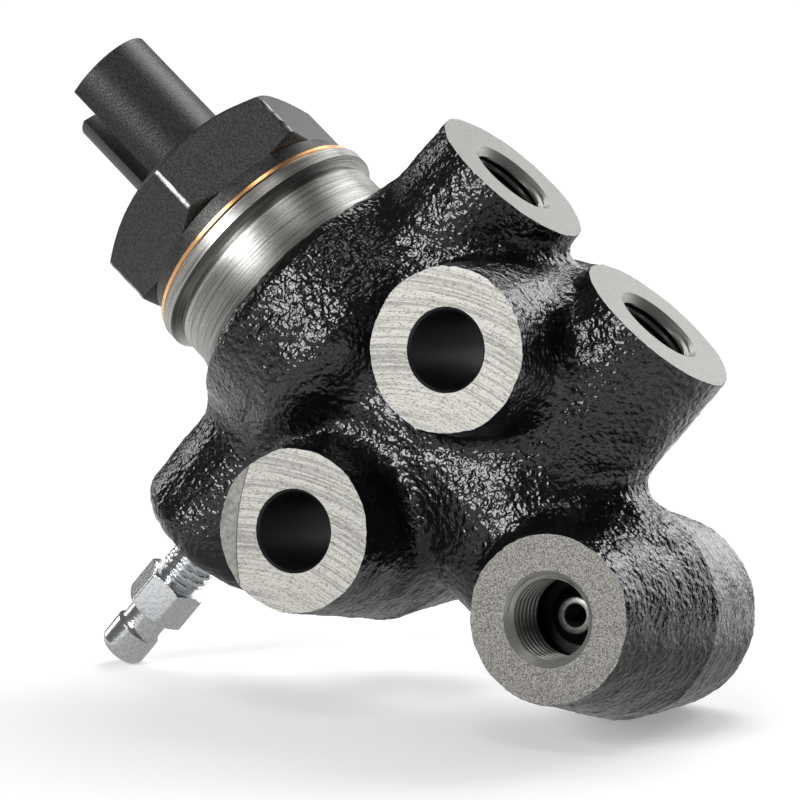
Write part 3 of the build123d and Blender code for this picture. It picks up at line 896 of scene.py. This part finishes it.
BOSS_IRON = (0.43, 0.42, 0.39)
left_centre = (-BOLT_SIDE + CUTTER_X, 0, CUTTER_Z)
right_centre = (BOLT_SIDE + CUTTER_X, 0, CUTTER_Z)
cuts = {
    "turned": turned_neck(),
    "left_face": milled_iron("milled_boss_left", left_centre, BOSS_IRON),
    "right_face": milled_iron("milled_boss_right", right_centre, BOSS_IRON),
    "sliver": grained("milled_boss_rim", (0.25, 0.245, 0.225), 0.55, 0.5, 0.5, 0.01),
    "port_face": milled_iron("milled_port", (SIDE_PORT_FACE, 0, 0), (0.30, 0.295, 0.28), 0.85, 0.6),
    "end_face": grained("milled_end_port", (0.31, 0.30, 0.275), 0.5, 0.5, 0.13, 0.03, 0.2),
    "bore": grained("drilled_iron", (0.18, 0.175, 0.165), 0.8, 0.4, 0.4, 0.01),
    "bolt_hole": grained("bolt_hole_wall", (0.02, 0.02, 0.02), 0.5, 0.45, 0.4, 0.01),
    "upper_thread": threaded_iron("upper_port_thread", 0, (0, 0, UPPER_PORT_Z), SIDE_PORT_FACE),
    "lower_thread": threaded_iron("lower_port_thread", 0, (0, 0, LOWER_PORT_Z), SIDE_PORT_FACE),
    "end_thread": threaded_iron("end_port_thread", 1, (0, 0, END_PORT_Z), END_PORT_FACE),
}
black_steel = blackened_steel()
copper = turned_steel("copper", (0.90, 0.50, 0.22), 0.28, 0.85)
zinc = grained("zinc_plate", (0.68, 0.695, 0.71), 0.9, 0.2, 0.3, 0.02, 0.75)
plain_steel = grained("plain_steel", (0.15, 0.147, 0.142), 0.7, 0.42, 0.3, 0.02, 0.35)
spring_steel = grained("spring_steel", (0.22, 0.21, 0.20), 1.0, 0.3, 0.4, 0.004)
rubber = grained("seal_rubber", (0.012, 0.012, 0.013), 0.0, 0.55, 0.5, 0.01)

# ---------------------------------------------------------------- the pieces
casting = raw_casting(cast_paint())
machine(casting, cuts)
shade_by_finish(casting)
finish_piece(casting, "valve_body_cast", "body", ["valve_body"])

plug = guide_plug(black_steel)
shade(plug)
finish_piece(plug, "guide_plug_machined", "body", ["guide_plug"])

washer = copper_washer(copper)
shade(washer)
finish_piece(washer, "copper_washer_pressed", "body", ["copper_washer"])

screw = bleed_screw(zinc)
shade(screw)
shifted(turned(screw, ALONG_BACK_X), z=UPPER_PORT_Z)
finish_piece(screw, "bleed_screw_machined", "bleed_screw", ["bleed_screw"])

for port, axis, face, turn, height in (
    ("upper_port", 0, SIDE_PORT_FACE, ALONG_X, UPPER_PORT_Z),
    ("lower_port", 0, SIDE_PORT_FACE, ALONG_X, LOWER_PORT_Z),
    ("end_port", 1, END_PORT_FACE, ALONG_BACK_Y, END_PORT_Z),
):
    seat = port_seat(port + "_seat_turned", face, seat_steel(port + "_seat", axis, (0, 0, height)))
    shade(seat)
    shifted(turned(seat, turn), z=height)
    finish_piece(seat, port + "_seat_turned", "body", [port + "_seat"])

for spring_node, joint, mean_r, wire_r, turns, fixed_end, moving_end in (
    ("piston_spring", "control_piston_slide",
     PISTON_SPRING_R, PISTON_SPRING_WIRE_R, PISTON_SPRING_TURNS, SHANK_END, SPRING_SEAT_TOP),
    ("bypass_spring", "bypass_piston_slide",
     BYPASS_SPRING_R, BYPASS_SPRING_WIRE_R, BYPASS_SPRING_TURNS, BYPASS_BORE_END, BYPASS_PISTON_LOW),
):
    name = spring_node + "_wound"
    low, high = sorted((fixed_end, moving_end))
    spring = coil(name, mean_r, wire_r, low + SPRING_GAP, high - SPRING_GAP, turns, spring_steel)
    shade(spring)
    finish_piece(spring, name, "body", [spring_node])
    compress(spring)

# Other pieces inside the bore keep their CAD shapes and get their finish here.
inside = {
    "plain_steel": plain_steel,
    "spring_steel": spring_steel,
    "seal_rubber": rubber,
}
for part in frame["record"]["subparts"]:
    piece = frame["nodes"][part["node"]]
    if piece.hide_render:
        continue
    piece.data.materials.clear()
    piece.data.materials.append(inside[part["material_slot"]])
    shade(piece)


# ---------------------------------------------------------------- floor, backdrop, lights, camera
def corners_of(*pieces):
    """All the corner points of some pieces, in metres."""
    stacks = []
    for piece in pieces:
        points = np.zeros(3 * len(piece.data.vertices))
        piece.data.vertices.foreach_get("co", points)
        stacks.append(points.reshape(-1, 3))
    return np.concatenate(stacks)


def resting_plane():
    """The floor's upward normal, and how far the floor lies along it. The part rests on the bleed screw's
    bead and on the end lobe's back taper, so the floor follows that taper and leans until it meets both."""
    back_slope = (END_LOBE_R - END_LOBE_BACK_R) / (END_LOBE_BACK - PARTING_Y)
    side_slope = 0.0
    span = (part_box("valve_body")[1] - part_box("bleed_screw")[0]).x
    for _ in range(12):                         # each round closes most of the gap that is left
        normal = np.array((-side_slope, -back_slope, 1.0))
        normal /= np.linalg.norm(normal)
        on_lobe = (corners_of(casting) @ normal).min()
        on_bead = (corners_of(screw) @ normal).min()
        side_slope += (on_lobe - on_bead) / span
    return Vector(normal), min(on_lobe, on_bead)


def floor_finish():
    """Matt white near the part, fading to a lit white, and clear from underneath. In reflections it is dimmer,
    with a painted shadow under the part and a painted pool of light round it.
    """
    white = new_finish("floor", 0.86, 0.0, 0.7)
    place = node(white, "TexCoord", {}).outputs["Object"]
    far = node(white, "VectorMath", {0: place}, operation="LENGTH").outputs["Value"]
    span = {0: far, 1: FLOOR_FADE[0], 2: FLOOR_FADE[1]}
    fade = node(white, "MapRange", span, interpolation_type="SMOOTHSTEP")
    glow = node(white, "Emission", {"Color": grey(1.0), "Strength": FLOOR_WHITE})
    matt = white.node_tree.nodes["Principled BSDF"]
    matt.inputs["Emission Color"].default_value = grey(1.0)
    matt.inputs["Emission Strength"].default_value = FLOOR_GLOW
    lit = node(white, "MixShader", {0: fade.outputs[0], 1: matt.outputs[0], 2: glow.outputs[0]})
    rays = node(white, "LightPath", {})
    # Painted shadow and pool of light, seen only in reflections: the floor's glow is low under the part, high
    # round it and lower far off.
    leave_shade = {0: far, 1: FLOOR_SHADE[0], 2: FLOOR_SHADE[1], 3: FLOOR_SHADED, 4: FLOOR_LIT}
    leave_pool = {0: far, 1: FLOOR_POOL[0], 2: FLOOR_POOL[1], 3: 1.0, 4: FLOOR_FAR / FLOOR_LIT}
    near, beyond = [node(white, "MapRange", span).outputs[0] for span in (leave_shade, leave_pool)]
    strength = sums(white, "MULTIPLY", near, beyond)
    dim = node(white, "Emission", {"Color": grey(1.0), "Strength": strength})
    shown = node(white, "MixShader", {0: rays.outputs["Is Camera Ray"], 1: dim.outputs[0], 2: lit.outputs[0]})
    under = node(white, "NewGeometry", {}).outputs["Backfacing"]
    clear = node(white, "BsdfTransparent", {})
    seen = node(white, "MixShader", {0: under, 1: shown.outputs[0], 2: clear.outputs[0]})
    out = white.node_tree.nodes["Material Output"]
    white.node_tree.links.new(seen.outputs[0], out.inputs["Surface"])
    return white


def backdrop():
    """White to the camera. What metal and paint reflect is darker below and brighter above."""
    world = bpy.data.worlds.new("backdrop")
    world.use_nodes = True
    direction = node(world, "TexCoord", {}).outputs["Generated"]
    height = node(world, "SeparateXYZ", {0: direction}).outputs[2]
    share = node(world, "MapRange", {0: height, 1: -1.0}).outputs[0]
    tone = graded(world, share, (0.3, ROOM_LOW), (0.8, ROOM_HIGH))
    reflected = node(world, "Background", {"Color": tone}).outputs[0]
    shown = node(world, "Background", {"Color": grey(1.0)}).outputs[0]
    rays = node(world, "LightPath", {}).outputs["Is Camera Ray"]
    mix = node(world, "MixShader", {0: rays, 1: reflected, 2: shown}).outputs[0]
    world.node_tree.links.new(mix, world.node_tree.nodes["World Output"].inputs["Surface"])
    bpy.context.scene.world = world


def direction_to(azimuth, elevation):
    """A unit vector from the part. Azimuth 0 is towards -Y, the mounting side, and 90 is towards +X."""
    turn, lift = math.radians(azimuth), math.radians(elevation)
    return Vector((math.sin(turn) * math.cos(lift), -math.cos(turn) * math.cos(lift), math.sin(lift)))


def soft_box(name, azimuth, elevation, width, height, power, distance=0.6):
    """A rectangular lamp facing the part: its direction in degrees, size in metres and power in watts."""
    lamp = bpy.data.lights.new(name, "AREA")
    lamp.shape = "RECTANGLE"
    lamp.size = width
    lamp.size_y = height
    lamp.energy = power
    holder = bpy.data.objects.new(name, lamp)
    bpy.context.scene.collection.objects.link(holder)
    way = direction_to(azimuth, elevation)
    holder.location = way * distance
    holder.rotation_euler = way.to_track_quat("Z", "Y").to_euler()


normal, reach = resting_plane()
floor = add_mesh("floor", [(-1, -1, 0), (1, -1, 0), (1, 1, 0), (-1, 1, 0)], [(0, 1, 2, 3)], floor_finish())
floor.data.transform(Matrix.Scale(FLOOR_HALF_SIZE, 4))
floor.rotation_euler = normal.to_track_quat("Z", "Y").to_euler()
floor.location = normal * reach

backdrop()
soft_box("key", -14, 16, 0.26, 0.22, 2.9)
soft_box("top", 190, 60, 0.35, 0.35, 1.55)
soft_box("right", 150, 38, 0.22, 0.22, 0.9)
soft_box("back", 161, 18, 0.7, 0.35, 1.7)
soft_box("left", -100, 22, 0.2, 0.25, 0.6)
soft_box("front_top", 22, 58, 0.16, 0.16, 0.35)

camera_data = bpy.data.cameras.new("camera")
camera_data.lens = LENS_MM
camera_data.sensor_width = SENSOR_MM
camera_data.clip_start = CLIP_START
camera = bpy.data.objects.new("camera", camera_data)
bpy.context.scene.collection.objects.link(camera)
way = direction_to(CAMERA_AZIMUTH, CAMERA_ELEVATION)
camera.location = (Vector(CAMERA_AIM) + way * CAMERA_DISTANCE) * MM
camera.rotation_euler = way.to_track_quat("Z", "Y").to_euler()
bpy.context.scene.camera = camera
bpy.context.scene.view_settings.view_transform = "Standard"
